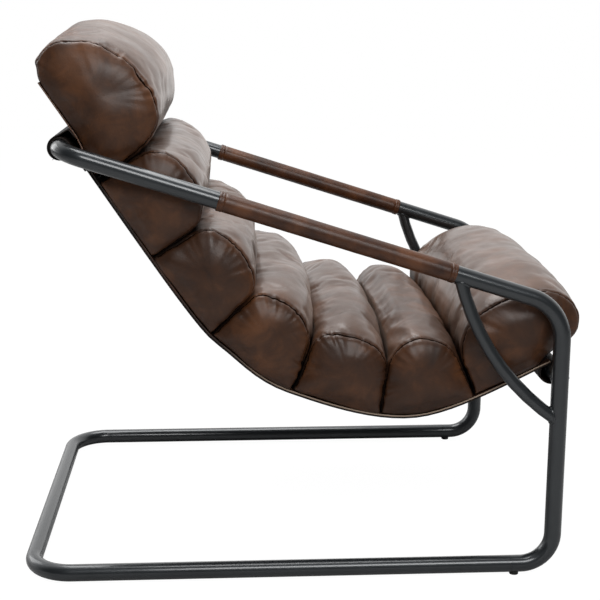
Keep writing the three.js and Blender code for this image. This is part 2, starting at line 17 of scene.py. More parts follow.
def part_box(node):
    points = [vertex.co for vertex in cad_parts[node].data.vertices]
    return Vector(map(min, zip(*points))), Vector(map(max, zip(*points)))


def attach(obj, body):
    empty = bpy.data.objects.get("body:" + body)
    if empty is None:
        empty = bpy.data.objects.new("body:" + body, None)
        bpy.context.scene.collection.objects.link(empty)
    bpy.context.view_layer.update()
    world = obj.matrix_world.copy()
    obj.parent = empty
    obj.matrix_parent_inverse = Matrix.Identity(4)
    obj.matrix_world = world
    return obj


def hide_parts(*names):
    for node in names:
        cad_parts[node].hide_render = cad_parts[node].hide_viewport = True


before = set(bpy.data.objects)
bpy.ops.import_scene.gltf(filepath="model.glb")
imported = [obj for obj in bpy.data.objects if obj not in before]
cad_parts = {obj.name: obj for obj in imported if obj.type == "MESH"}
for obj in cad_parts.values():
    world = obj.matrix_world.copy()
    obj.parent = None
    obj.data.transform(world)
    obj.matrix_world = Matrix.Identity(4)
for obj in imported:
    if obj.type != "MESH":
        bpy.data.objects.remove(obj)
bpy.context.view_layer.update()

scene = bpy.context.scene
print("CAD nodes:", len(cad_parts))

# %% [markdown]
# ## Places read from the CAD
# The tubes' axes follow from the corners of the CAD nodes' boxes, so nothing is measured
# twice. What a box can't say, such as a tube's wall, is a named value.

# %% Axes and radii of the frame
TUBE_RADIUS = 0.0127
BRACE_RADIUS = 0.0095
TUBE_WALL = 0.002
SEAT_GAP = 0.0003  # clearance between two pieces that touch
LEG_RISE = 0.3986  # from the floor tube's axis to the corner where leg and arm meet
SIDES = ((-1, "right"), (1, "left"))  # as the sitter has them


def middle(node):
    low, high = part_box(node)
    return (low + high) / 2


floor_low, floor_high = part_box("floor_tube")
SIDE_X = floor_high.x - TUBE_RADIUS
RAIL_Z = floor_low.z + TUBE_RADIUS
REAR_Y = floor_high.y - TUBE_RADIUS
FLOOR_JOINT_Y = floor_low.y
LEG_Y = middle("front_cross_tube").y
FRONT_BAR_Z = middle("front_cross_tube").z
TOP_Y = middle("top_cross_tube").y
TOP_Z = middle("top_cross_tube").z
TOP_JOINT_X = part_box("top_cross_tube")[1].x
ARM_FRONT_Z = RAIL_Z + LEG_RISE
SEAM_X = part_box("sling")[1].x  # the end panels are sewn on in this plane
print("side tube axis at x", round(SIDE_X, 4), "top bar at y, z", round(TOP_Y, 4), round(TOP_Z, 4))

# %% [markdown]
# ## Camera
# The photograph looks at the chair's right side from a little above. Place, turn and lens
# come from a fit to the straight tubes, so the frame lies on the photograph's frame.

# %% Set up the camera
camera_data = bpy.data.cameras.new("camera")
camera = bpy.data.objects.new("camera", camera_data)
scene.collection.objects.link(camera)
scene.camera = camera
PAN, TILT, ROLL = 0.0580, 0.2240, 0.0029  # radians
CAMERA_X = -2.1005
CAMERA_AHEAD = 0.2988  # of the floor tube's rear bar
CAMERA_RISE = 0.8209  # above the floor tube's axis
FOCAL_LENGTH, SENSOR_WIDTH = 76.97, 36  # mm
forward = Vector((math.cos(PAN) * math.cos(TILT), -math.sin(PAN) * math.cos(TILT), -math.sin(TILT)))
level_right = Vector((-math.sin(PAN), -math.cos(PAN), 0))
level_up = level_right.cross(forward)
right = math.cos(ROLL) * level_right + math.sin(ROLL) * level_up
up = -math.sin(ROLL) * level_right + math.cos(ROLL) * level_up
turn = Matrix((right, up, -forward)).transposed().to_4x4()
camera_place = (CAMERA_X, REAR_Y - CAMERA_AHEAD, RAIL_Z + CAMERA_RISE)
camera.matrix_world = Matrix.Translation(camera_place) @ turn
camera_data.lens = FOCAL_LENGTH
camera_data.sensor_width = SENSOR_WIDTH
camera_data.clip_start = 0.05
print("camera at", [round(v, 3) for v in camera.location])

# %% [markdown]
# ## Studio
# A pale floor, a white room and large soft lamps. The camera sees a white background, and the
# floor shows its soft shadow. In reflections the room is white behind the chair and nearly
# dark on the camera's side, as a studio with one white sweep is. That gives the rolls their
# pale tops and their deep end panels.

# %% Helpers for materials
def linear(hex_colour):
    """An sRGB hex value as the linear colour that a shader takes."""
    parts = [int(hex_colour[i:i + 2], 16) / 255 for i in (1, 3, 5)]
    return tuple(p / 12.92 if p <= 0.04045 else ((p + 0.055) / 1.055) ** 2.4 for p in parts) + (1,)


def add(tree, kind, inputs=None, **settings):
    """Adds a node with its settings. An input is a value, a socket, or a node's first output."""
    made = tree.nodes.new(kind)
    for name, value in settings.items():
        setattr(made, name, value)
    for name, value in (inputs or {}).items():
        if isinstance(value, bpy.types.Node):
            value = value.outputs[0]
        if isinstance(value, bpy.types.NodeSocket):
            tree.links.new(value, made.inputs[name])
        else:
            made.inputs[name].default_value = value
    return made


def new_material(name):
    material = bpy.data.materials.new(name)
    material.use_nodes = True
    material.node_tree.nodes.clear()
    return material, material.node_tree


def per_metre(millimetres):
    """The texture scale at which one pattern cell is that wide."""
    return 1000 / millimetres


# %% Room, floor and lamps
SOFT_LIGHT = 0.32  # the room's light on the chair
DIM_SIDE = 0.05  # how bright the camera's side of the room is in reflections
SWEEP_START, SWEEP_END = -0.35, 0.45  # where the reflected room turns from dim to white
FLOOR_SIZE = 14
FLOOR_GREY = (0.45, 0.45, 0.45, 1)
FLOOR_GLOW, GLOW_SHARE = 1.15, 0.85  # what the camera adds to the floor, so that only shadows show
WHITE = (1, 1, 1, 1)
world = bpy.data.worlds.new("studio")
scene.world = world
world.use_nodes = True
tree = world.node_tree
tree.nodes.clear()
rays = add(tree, "ShaderNodeLightPath")
around = add(tree, "ShaderNodeTexCoord").outputs["Generated"]
direction = add(tree, "ShaderNodeSeparateXYZ", {0: around})
sweep = add(tree, "ShaderNodeMapRange", {
    "Value": direction.outputs["X"], "From Min": SWEEP_START, "From Max": SWEEP_END,
    "To Min": DIM_SIDE, "To Max": 1.0}, interpolation_type="SMOOTHSTEP")
soft_light = add(tree, "ShaderNodeBackground", {"Color": WHITE, "Strength": SOFT_LIGHT})
mirrored = add(tree, "ShaderNodeBackground", {"Color": WHITE, "Strength": sweep})
white_room = add(tree, "ShaderNodeBackground", {"Color": WHITE, "Strength": 1.0})
clear = add(tree, "ShaderNodeMath", {
    0: rays.outputs["Is Camera Ray"], 1: rays.outputs["Is Transmission Ray"]},
    operation="ADD", use_clamp=True)
mixed = add(tree, "ShaderNodeMixShader", {
    0: rays.outputs["Is Glossy Ray"], 1: soft_light, 2: mirrored})
mixed = add(tree, "ShaderNodeMixShader", {0: clear, 1: mixed, 2: white_room})
add(tree, "ShaderNodeOutputWorld", {"Surface": mixed})

bpy.ops.object.select_all(action="DESELECT")
bpy.ops.mesh.primitive_plane_add(size=FLOOR_SIZE, location=(0, 0, 0))
floor = bpy.context.object
floor.name = "studio_floor"
floor_paint, tree = new_material("matt_white_floor_paint")
rays = add(tree, "ShaderNodeLightPath")
paint = add(tree, "ShaderNodeBsdfDiffuse", {"Color": FLOOR_GREY})
lift = add(tree, "ShaderNodeEmission", {"Color": WHITE, "Strength": FLOOR_GLOW})
share = add(tree, "ShaderNodeMath", {
    0: rays.outputs["Is Camera Ray"], 1: GLOW_SHARE}, operation="MULTIPLY")
faint = add(tree, "ShaderNodeMixShader", {0: share, 1: paint, 2: lift})
add(tree, "ShaderNodeOutputMaterial", {"Surface": faint})
floor.data.materials.append(floor_paint)


def lamp(name, place, aim, size, watts):
    data = bpy.data.lights.new(name, "AREA")
    data.shape = "RECTANGLE"
    data.size, data.size_y = size
    data.energy = watts
    light = bpy.data.objects.new(name, data)
    scene.collection.objects.link(light)
    light.location = place
    light.rotation_euler = (Vector(aim) - Vector(place)).to_track_quat("-Z", "Y").to_euler()


lamp("key_softbox", (-2.3, -0.4, 1.85), (0, 0, 0.4), (1.7, 0.8), 36)
lamp("top_softbox", (0.35, 0.1, 2.6), (0, 0, 0.3), (1.3, 2.4), 56)
lamp("rear_softbox", (1.2, 2.2, 1.4), (0, 0, 0.5), (1.2, 1.6), 14)
scene.view_settings.view_transform = "Standard"

# %% [markdown]
# ## How pieces are finished
# Each new piece rides on the chair's one body and hides the CAD node that it stands for.

# %% Helpers for pieces
def switch(mode):
    bpy.ops.object.mode_set(mode=mode)


def only(piece):
    """Selects one object and makes it the active one."""
    if bpy.context.object and bpy.context.object.mode != "OBJECT":
        switch("OBJECT")
    bpy.ops.object.select_all(action="DESELECT")
    piece.select_set(True)
    bpy.context.view_layer.objects.active = piece


def modify(piece, kind, **settings):
    """Adds a modifier with its settings, and applies it."""
    modifier = piece.modifiers.new(kind.lower(), kind)
    for name, value in settings.items():
        setattr(modifier, name, value)
    only(piece)
    bpy.ops.object.modifier_apply(modifier=modifier.name)


def finish(piece, material, slot, *nodes):
    """Gives a piece its material, its body and the CAD nodes that it stands for."""
    piece.data.materials.clear()
    piece.data.materials.append(material)
    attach(piece, "root")
    if nodes:
        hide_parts(*nodes)
    triangles = sum(len(face.vertices) - 2 for face in piece.data.polygons)
    print(f"{piece.name}: {triangles} triangles", *nodes)


def smooth(piece, degrees=40):
    only(piece)
    bpy.ops.object.shade_smooth_by_angle(angle=math.radians(degrees))


# %% [markdown]
# ## Powder-coated steel
# The frame is mild steel tube with a satin gunmetal powder coat. The powder flows out when
# it is baked, so the surface is smooth with a faint orange peel and reads as dark
# blue-grey with soft, drawn-out highlights.

# %% Gunmetal powder coat
powder_coat, tree = new_material("gunmetal_powder_coat_on_steel")
where = add(tree, "ShaderNodeTexCoord").outputs["Object"]
peel = add(tree, "ShaderNodeTexNoise", {"Vector": where, "Scale": per_metre(1.6), "Detail": 1.0})
cloud = add(tree, "ShaderNodeTexNoise", {"Vector": where, "Scale": per_metre(45), "Detail": 3.0})
tone = add(tree, "ShaderNodeValToRGB", {0: cloud})
tone.color_ramp.elements[0].color = linear("#25282b")
tone.color_ramp.elements[1].color = linear("#33373a")
rub = add(tree, "ShaderNodeMapRange", {"Value": cloud, "To Min": 0.34, "To Max": 0.44})
relief = add(tree, "ShaderNodeBump", {"Height": peel, "Strength": 0.12, "Distance": 0.0002})
coat = add(tree, "ShaderNodeBsdfPrincipled", {
    "Base Color": tone, "Metallic": 0.55, "Roughness": rub,
    "Normal": relief, "Coat Weight": 0.85, "Coat Roughness": 0.15,
})
add(tree, "ShaderNodeOutputMaterial", {"Surface": coat})
print("made", powder_coat.name)

# %% [markdown]
# ## Bent tube
# On a bench the tube is fed straight, bent round a die, and fed on. The piece is made the
# same way: a ring of edges is extruded along each straight run and spun round each bend's
# centre. A wall is then added inwards.

# %% Extrude and spin a ring along a bent line
RING_SIDES = 40
BEND_STEP = 5  # degrees between two rings of a bend
MERGE = 0.00001  # points nearer than this are one point
BEND_ERROR = 0.001  # how far off a bend may end before the script stops


def facing(direction):
    """The turn that brings Z into that direction."""
    return direction.to_track_quat("Z", "Y").to_euler()


def start_ring(name, start, toward, radius, sides=RING_SIDES):
    bpy.ops.object.select_all(action="DESELECT")
    bpy.ops.mesh.primitive_circle_add(
        vertices=sides, radius=radius, location=start, rotation=facing(Vector(toward) - Vector(start)))
    piece = bpy.context.object
    piece.name = name
    bpy.ops.object.transform_apply(location=True, rotation=True, scale=True)
    switch("EDIT")
    bpy.ops.mesh.select_all(action="SELECT")
    return piece


def ring_middle(piece):
    mesh = bmesh.from_edit_mesh(piece.data)
    picked = [v.co for v in mesh.verts if v.select]
    return sum(picked, Vector()) / len(picked)


def feed(offset):
    bpy.ops.mesh.extrude_region_move(TRANSFORM_OT_translate={"value": offset})


def bend(piece, centre, axis, angle, expected):
    """Spins the ring about a centre. Spin turns left-handed, so the angle is negative."""
    steps = max(6, round(math.degrees(angle) / BEND_STEP))
    bpy.ops.mesh.spin(steps=steps, angle=-angle, center=centre, axis=axis)
    if (ring_middle(piece) - expected).length > BEND_ERROR:
        raise ValueError(f"{piece.name}: the bend ends at {ring_middle(piece)}, not at {expected}")


# %% Close a tube and give it its wall
def merge_doubles(threshold=MERGE):
    bpy.ops.mesh.select_all(action="SELECT")
    bpy.ops.mesh.remove_doubles(threshold=threshold)


def add_wall(piece, thickness):
    """Thickens a skin inwards."""
    modify(piece, "SOLIDIFY", thickness=thickness, offset=-1)


def close_tube(piece):
    """Merges the rings' doubles, turns the faces outwards and adds the tube's wall."""
    merge_doubles()
    bpy.ops.mesh.normals_make_consistent(inside=False)
    switch("OBJECT")
    add_wall(piece, TUBE_WALL)


def bent_tube(name, corners, radii=()):
    """A tube along straight runs from corner to corner, with a bend of each radius between them."""
    corners = [Vector(c) for c in corners]
    piece = start_ring(name, corners[0], corners[1], TUBE_RADIUS)
    here = corners[0]
    for i, radius in enumerate(radii, start=1):
        before = (corners[i] - corners[i - 1]).normalized()
        after = (corners[i + 1] - corners[i]).normalized()
        angle = before.angle(after)
        setback = radius * math.tan(angle / 2)
        start = corners[i] - before * setback
        inward = (after - before * before.dot(after)).normalized()
        feed(start - here)
        axis = before.cross(after).normalized()
        bend(piece, start + inward * radius, axis, angle, corners[i] + after * setback)
        here = corners[i] + after * setback
    feed(corners[-1] - here)
    close_tube(piece)
    smooth(piece, 35)
    return piece


# %% Floor tube, side tubes and cross bars
REAR_BEND, FOOT_BEND, ARM_BEND, TOP_BEND = 0.064, 0.048, 0.068, 0.038  # radii at the axis
floor_line = [
    (-SIDE_X, FLOOR_JOINT_Y, RAIL_Z), (-SIDE_X, REAR_Y, RAIL_Z),
    (SIDE_X, REAR_Y, RAIL_Z), (SIDE_X, FLOOR_JOINT_Y, RAIL_Z),
]
floor_tube = bent_tube("floor_frame_tube", floor_line, [REAR_BEND, REAR_BEND])
finish(floor_tube, powder_coat, "frame_steel", "floor_tube")
for side, word in SIDES:
    x = side * SIDE_X
    corners = [
        (x, FLOOR_JOINT_Y - SEAT_GAP, RAIL_Z), (x, LEG_Y, RAIL_Z), (x, LEG_Y, ARM_FRONT_Z),
        (x, TOP_Y, TOP_Z), (side * (TOP_JOINT_X + SEAT_GAP), TOP_Y, TOP_Z),
    ]
    side_tube = bent_tube(f"{word}_leg_and_arm_tube", corners, [FOOT_BEND, ARM_BEND, TOP_BEND])
    finish(side_tube, powder_coat, "frame_steel", f"{word}_side_tube")
top_bar = bent_tube("top_bar_tube", [(x, TOP_Y, TOP_Z) for x in (-TOP_JOINT_X, TOP_JOINT_X)])
finish(top_bar, powder_coat, "frame_steel", "top_cross_tube")

# %% [markdown]
# ## Braces and welds
# Each brace is one bend of smaller tube. Its ends are coped to sit on the arm and on the
# leg, and a weld bead runs round each joint. The bead is made from the joint's own edge:
# the brace is cut by the tube that it meets, and the edge that the cut leaves is thickened.

# %% Cut a tube's end to sit on another tube
CUTTER_SIDES = 64


def arm_point(side, back_from_leg):
    share = back_from_leg / (TOP_Y - LEG_Y)
    return Vector((side * SIDE_X, LEG_Y + back_from_leg, ARM_FRONT_Z + share * (TOP_Z - ARM_FRONT_Z)))


def leg_line(side, low, high):
    return [Vector((side * SIDE_X, LEG_Y, z)) for z in (low, high)]


def cope(piece, line):
    """Cuts away the part of the piece that lies inside a tube along that line."""
    start, end = line
    bpy.ops.object.select_all(action="DESELECT")
    bpy.ops.mesh.primitive_cylinder_add(
        vertices=CUTTER_SIDES, radius=TUBE_RADIUS, depth=(end - start).length,
        location=(start + end) / 2, rotation=facing(end - start))
    cutter = bpy.context.object
    modify(piece, "BOOLEAN", operation="DIFFERENCE", solver="EXACT", object=cutter)
    bpy.data.objects.remove(cutter)


# %% A weld bead along a cut edge
BRACE_BEAD, BAR_BEAD = 0.0018, 0.0012  # radii of the weld beads
ON_TUBE = 0.0004  # how near a cut edge lies to the tube that cut it
BEAD_MERGE = 0.0003


def bead_where(piece, line, bead_radius, name):
    """A weld bead along the edge that the tube along that line has cut into the piece."""
    start, end = line
    along = (end - start).normalized()

    def gap(co):
        off = co - start
        return abs((off - along * off.dot(along)).length - TUBE_RADIUS)

    source = bmesh.new()
    source.from_mesh(piece.data)
    source.edges.ensure_lookup_table()
    rims = [e for e in source.edges if all(gap(v.co) < ON_TUBE for v in e.verts)
            and any(gap(f.calc_center_median()) > ON_TUBE for f in e.link_faces)]
    bead = bpy.data.objects.new(name, bpy.data.meshes.new(name))
    scene.collection.objects.link(bead)
    corners = {v.index: v.co.copy() for e in rims for v in e.verts}
    index = {old: new for new, old in enumerate(corners)}
    bead.data.from_pydata(list(corners.values()), [[index[v.index] for v in e.verts] for e in rims], [])
    source.free()
    only(bead)
    bpy.ops.object.convert(target="CURVE")
    bead.data.bevel_depth = bead_radius
    bead.data.bevel_resolution = 3
    bpy.ops.object.convert(target="MESH")
    bead = bpy.context.object
    only(bead)
    switch("EDIT")
    merge_doubles(BEAD_MERGE)
    switch("OBJECT")
    smooth(bead, 60)
    finish(bead, powder_coat, "frame_steel")


# %% The two braces
BRACE_CURVE_RADIUS = 0.369
BRACE_BACK = 0.1535  # from the leg to the brace's end on the arm
BRACE_DROP = 0.173  # from the arm's front corner to the brace's end on the leg


def brace_tube(side, word):
    on_arm = arm_point(side, BRACE_BACK)
    on_leg = Vector((side * SIDE_X, LEG_Y, ARM_FRONT_Z - BRACE_DROP))
    chord = on_leg - on_arm
    to_centre = Vector((0, chord.z, -chord.y)).normalized()
    off_chord = math.sqrt(BRACE_CURVE_RADIUS ** 2 - chord.length_squared / 4)
    centre = (on_arm + on_leg) / 2 + to_centre * off_chord
    axis = (on_arm - centre).cross(on_leg - centre).normalized()
    heading = axis.cross(on_arm - centre)
    angle = (on_arm - centre).angle(on_leg - centre)
    piece = start_ring(f"{word}_brace_tube", on_arm, on_arm + heading, BRACE_RADIUS)
    bend(piece, centre, axis, angle, on_leg)
    close_tube(piece)
    return piece


for side, word in SIDES:
    brace = brace_tube(side, word)
    lines = {
        "arm": [arm_point(side, 0.0), arm_point(side, 0.4)],
        "leg": leg_line(side, 0.1, ARM_FRONT_Z),
    }
    for line in lines.values():
        cope(brace, line)
    for place_word, line in lines.items():
        bead_where(brace, line, BRACE_BEAD, f"{word}_brace_weld_at_{place_word}")
    smooth(brace, 35)
    finish(brace, powder_coat, "frame_steel", f"{word}_brace")

# %% The front bar, welded between the legs
front_bar = bent_tube("front_bar_tube", [(x, LEG_Y, FRONT_BAR_Z) for x in (-SIDE_X, SIDE_X)])
for side, word in SIDES:
    line = leg_line(side, FRONT_BAR_Z - 0.1, FRONT_BAR_Z + 0.08)
    cope(front_bar, line)
    bead_where(front_bar, line, BAR_BEAD, f"{word}_front_bar_weld")
smooth(front_bar, 35)
finish(front_bar, powder_coat, "frame_steel", "front_cross_tube")

# %% [markdown]
# ## Small hardware
# Nylon glides are pressed into the floor tube. Zinc-plated screws and spigots hold the
# frame's joints. Their shapes are the CAD's own; a small bevel on each edge catches light.

# %% Helpers for copies of CAD nodes, and a finish for small parts
def cad_mesh(node):
    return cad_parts[node].data


def copy_of(node, name):
    """A merged copy of a CAD node's mesh, with its triangles joined back into quads."""
    piece = bpy.data.objects.new(name, cad_mesh(node).copy())
    scene.collection.objects.link(piece)
    piece.data.materials.clear()
    only(piece)
    if piece.data.has_custom_normals:
        bpy.ops.mesh.customdata_custom_splitnormals_clear()
    switch("EDIT")
    merge_doubles()
    bpy.ops.mesh.tris_convert_to_quads()
    bpy.ops.mesh.faces_shade_smooth()
    switch("OBJECT")
    return piece


def simple_finish(name, dark, light, cell, metallic, roughness, bump):
    """One clouded colour with a fine relief, for small parts."""
    material, tree = new_material(name)
    where = add(tree, "ShaderNodeTexCoord").outputs["Object"]
    cloud = add(tree, "ShaderNodeTexNoise", {"Vector": where, "Scale": per_metre(cell), "Detail": 3.0})
    tone = add(tree, "ShaderNodeValToRGB", {0: cloud})
    tone.color_ramp.elements[0].color = linear(dark)
    tone.color_ramp.elements[1].color = linear(light)
    wear = add(tree, "ShaderNodeMapRange", {
        "Value": cloud, "To Min": roughness[0], "To Max": roughness[1]})
    relief = add(tree, "ShaderNodeBump", {"Height": cloud, "Strength": bump, "Distance": 0.0003})
    surface = add(tree, "ShaderNodeBsdfPrincipled", {
        "Base Color": tone, "Metallic": metallic, "Roughness": wear,
        "Normal": relief})
    add(tree, "ShaderNodeOutputMaterial", {"Surface": surface})
    return material


# %% Glides, screws and spigots
EASED_EDGE = 0.0004
zinc = simple_finish("bright_zinc_plate_on_steel", "#9da2a6", "#c8ccce", 3, 1.0, (0.24, 0.38), 0.1)
nylon = simple_finish("black_moulded_nylon", "#121213", "#1d1d1e", 2.5, 0.0, (0.45, 0.6), 0.15)
hardware = {"glide": (nylon, "nylon"), "spigot": (zinc, "joint_zinc"), "screw": (zinc, "joint_zinc")}
for node in sorted(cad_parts):
    kind = node.split("_")[-1]
    if kind in hardware:
        material, slot = hardware[kind]
        part = copy_of(node, "dressed_" + node)
        modify(part, "BEVEL", width=EASED_EDGE, segments=2, limit_method="ANGLE")
        smooth(part, 35)
        finish(part, material, slot, node)

# %% [markdown]
# ## Waxed leather on the cushion
# The cover is aniline cowhide, drum-dyed brown and waxed. Aniline dye leaves the hide's own
# clouds of light and dark, and the wax gives a soft satin shine. Two shaders lie on one hide:
# the crests of the rolls are painted paler and warmer, a painted sheen for the room's glancing
# reflection, and the end panels and valleys go without it; the valleys get painted shade. Each seam is a
# dark line.

# %% Dye and grain of a hide
def hide_colour(tree, where, dark, middle_tone, light, cloud_size):
    """Clouded dye: a broad and a finer noise, added, through three tones of one hide."""
    sway = add(tree, "ShaderNodeTexNoise", {
        "Vector": where, "Scale": per_metre(cloud_size * 2.2), "Detail": 2.0})
    cloud = add(tree, "ShaderNodeTexNoise", {
        "Vector": where, "Scale": per_metre(cloud_size), "Detail": 5.0,
        "Roughness": 0.62, "Distortion": 0.5})
    both = add(tree, "ShaderNodeMath", {0: sway, 1: cloud}, operation="ADD")
    spread = add(tree, "ShaderNodeMapRange", {"Value": both, "From Min": 0.7, "From Max": 1.3})
    tones = add(tree, "ShaderNodeValToRGB", {0: spread})
    tones.color_ramp.elements[0].color = linear(dark)
    tones.color_ramp.elements[1].color = linear(light)
    tones.color_ramp.elements.new(0.5).color = linear(middle_tone)
    return tones


def hide_relief(tree, where, strength):
    """Pebble grain, 1.3 mm on the hide but drawn at 2.4 mm to show, with fine creases in it."""
    grain = add(tree, "ShaderNodeTexVoronoi", {
        "Vector": where, "Scale": per_metre(2.4), "Randomness": 1.0})
    creases = add(tree, "ShaderNodeTexNoise", {
        "Vector": where, "Scale": per_metre(7), "Detail": 4.0, "Roughness": 0.65, "Distortion": 0.8})
    both = add(tree, "ShaderNodeMath", {0: grain, 1: 0.35, 2: creases}, operation="MULTIPLY_ADD")
    return add(tree, "ShaderNodeBump", {"Height": both, "Strength": strength, "Distance": 0.0007})


# %% Aniline cowhide
cowhide, tree = new_material("waxed_aniline_cowhide")
where = add(tree, "ShaderNodeTexCoord").outputs["Object"]
dye = hide_colour(tree, where, "#2a170b", "#3d2311", "#5a361c", 42)
relief = hide_relief(tree, where, 0.25)
grease = add(tree, "ShaderNodeTexNoise", {"Vector": where, "Scale": per_metre(24), "Detail": 3.0})
# The crests are painted a paler, warm colour: a painted sheen for the room's glancing reflection
painted_sheen_colour = add(tree, "ShaderNodeMix", {"Factor": 0.42, 6: dye, 7: linear("#5e4230")}, data_type="RGBA")
dry = add(tree, "ShaderNodeMapRange", {
    "Value": grease, "From Min": 0.3, "From Max": 0.7, "To Min": 0.3, "To Max": 0.42})
crest_with_painted_sheen = add(tree, "ShaderNodeBsdfPrincipled", {
    "Base Color": painted_sheen_colour.outputs[2], "Roughness": dry,
    "Normal": relief,
    "IOR": 1.45, "Coat Weight": 0.42, "Coat Roughness": 0.24,
    "Sheen Weight": 0.12, "Sheen Roughness": 0.4, "Sheen Tint": linear("#f7e2d3"),
})
# The end panels and the valleys go without the painted sheen, and painted shade darkens the valleys
painted_valley_shade = add(tree, "ShaderNodeAttribute", attribute_type="GEOMETRY", attribute_name="painted_valley_shade")
shaded = add(tree, "ShaderNodeMix", {
    "Factor": painted_valley_shade.outputs["Fac"], 6: dye, 7: linear("#140b06")}, data_type="RGBA")
polish = add(tree, "ShaderNodeMapRange", {
    "Value": grease, "From Min": 0.3, "From Max": 0.7, "To Min": 0.42, "To Max": 0.54})
polished_skin_with_painted_shade = add(tree, "ShaderNodeBsdfPrincipled", {
    "Base Color": shaded.outputs[2], "Roughness": polish,
    "Normal": relief,
    "IOR": 1.35, "Coat Weight": 0.26, "Coat Roughness": 0.34,
})
# Where the crests' painted sheen is left off, so that the polished skin shows
no_painted_sheen = add(tree, "ShaderNodeAttribute", attribute_type="GEOMETRY", attribute_name="polish_without_painted_sheen")
skin = add(tree, "ShaderNodeMixShader", {0: no_painted_sheen.outputs["Fac"], 1: crest_with_painted_sheen, 2: polished_skin_with_painted_shade})
# A line of shade lies in each seam
seam = add(tree, "ShaderNodeAttribute", attribute_type="GEOMETRY", attribute_name="seam_mm")
from_seam = add(tree, "ShaderNodeMath", {0: seam.outputs["Fac"]}, operation="ABSOLUTE")
near_seam = add(tree, "ShaderNodeMapRange", {
    "Value": from_seam, "From Min": 0.9, "From Max": 1.8, "To Min": 1.0, "To Max": 0.0})
crack = add(tree, "ShaderNodeBsdfDiffuse", {"Color": linear("#120a06")})
sewn = add(tree, "ShaderNodeMixShader", {0: near_seam, 1: skin, 2: crack})
add(tree, "ShaderNodeOutputMaterial", {"Surface": sewn})
print("made", cowhide.name)

# %% [markdown]
# ## Bridle leather for the sling and the sleeves
# The sling carries the sitter, so it is thick bridle leather, dyed nearly black. The
# cushion's base is brown, and its cut edge is paler towards the front and above the top
# bar. The sleeves are thinner leather of a redder brown, wet-stretched round the arms and
# polished by hands.

# %% Bridle leather
def bridle(name, tones, roughness, ior, coat_weight, grain_strength, cut_edge=None):
    """Dyed leather. A cut edge has two paler colours: towards the front, and above the top bar."""
    material, tree = new_material(name)
    where = add(tree, "ShaderNodeTexCoord").outputs["Object"]
    dye = hide_colour(tree, where, *tones, 28)
    if cut_edge:
        across = add(tree, "ShaderNodeSeparateXYZ", {0: where})
        out = add(tree, "ShaderNodeMath", {0: across.outputs["X"]}, operation="ABSOLUTE")
        on_edge = add(tree, "ShaderNodeMapRange", {
            "Value": out, "From Min": SEAM_X - 0.0012, "From Max": SEAM_X - 0.0004})
        in_front = add(tree, "ShaderNodeMapRange", {
            "Value": across.outputs["Y"], "From Min": 0.02, "From Max": 0.12,
            "To Min": 1.0, "To Max": 0.0})
        at_head = add(tree, "ShaderNodeMapRange", {
            "Value": across.outputs["Z"], "From Min": TOP_Z - 0.04, "From Max": TOP_Z})
        for colour, place in zip(cut_edge, (in_front, at_head)):
            shown = add(tree, "ShaderNodeMath", {0: on_edge, 1: place}, operation="MULTIPLY")
            edged = add(tree, "ShaderNodeMix", {
                "Factor": shown, 6: dye, 7: linear(colour)}, data_type="RGBA")
            dye = edged.outputs[2]
    relief = hide_relief(tree, where, grain_strength)
    wear = add(tree, "ShaderNodeTexNoise", {
        "Vector": where, "Scale": per_metre(12), "Detail": 4.0, "Roughness": 0.6})
    shine = add(tree, "ShaderNodeMapRange", {
        "Value": wear, "From Min": 0.3, "From Max": 0.7,
        "To Min": roughness[0], "To Max": roughness[1]})
    surface = add(tree, "ShaderNodeBsdfPrincipled", {
        "Base Color": dye, "Roughness": shine, "Normal": relief,
        "IOR": ior, "Coat Weight": coat_weight, "Coat Roughness": 0.25})
    add(tree, "ShaderNodeOutputMaterial", {"Surface": surface})
    return material


sling_leather = bridle(
    "dark_bridle_leather", ("#0f0b09", "#1a1310", "#281c16"), (0.55, 0.68), 1.3, 0.0, 0.2)
base_leather = bridle(
    "brown_base_leather", ("#1c110b", "#2d1c13", "#43291b"), (0.4, 0.52), 1.5, 0.1, 0.2,
    ("#93806f", "#5a3d2b"))
sleeve_leather = bridle(
    "polished_sleeve_leather", ("#2c160a", "#462713", "#5e381f"), (0.36, 0.44), 1.42, 0.02, 0.06)
thread = simple_finish("waxed_brown_thread", "#2a1810", "#4a3022", 1.5, 0.0, (0.5, 0.65), 0.2)
print("made", sling_leather.name, sleeve_leather.name, thread.name)

# %% [markdown]
# ## Arm sleeves
# A strip of leather is wrapped round each arm and closed by a seam underneath. At each end
# a narrow band is stitched over it. A ring is fed along the arm in short steps, then each
# ring's radius is set by how far it is from the sleeve's end.

# %% Stitches, copied and joined
STITCH_PITCH = 0.0055
SLEEVE_THREAD, HEM_THREAD = 0.0009, 0.0010


def one_stitch(name, length, thickness):
    """A single stitch: a slim rounded grain of thread, lying along X."""
    bpy.ops.object.select_all(action="DESELECT")
    bpy.ops.mesh.primitive_uv_sphere_add(
        segments=6, ring_count=4, radius=0.5, rotation=(0, math.pi / 2, 0))
    stitch = bpy.context.object
    stitch.name = name
    bpy.ops.object.transform_apply(location=False, rotation=True, scale=False)
    stitch.scale = (length, thickness, thickness)
    bpy.ops.object.transform_apply(location=False, rotation=False, scale=True)
    return stitch


def repeat(stitch, times, offset):
    modify(stitch, "ARRAY", count=times, use_relative_offset=False,
           use_constant_offset=True, constant_offset_displace=offset)


def place_mesh(piece, matrix):
    """Turns and moves the mesh itself, so that the object stays at the origin."""
    piece.data.transform(matrix)
    piece.data.update()


def join(pieces, name):
    only(pieces[0])
    for piece in pieces[1:]:
        piece.select_set(True)
    if len(pieces) > 1:
        bpy.ops.object.join()
    joined = bpy.context.object
    joined.name = name
    return joined


# %% The shape of a sleeve
SLEEVE_SIDES = 56
SLEEVE_RADIUS = 0.0139
SLEEVE_WALL = 0.0008
BAND_WIDTH = 0.0085
BAND_RISE, BAND_BLUR = 0.00055, 0.0003
STITCH_LINE = BAND_WIDTH * 0.42  # how far the stitches lie from the sleeve's end
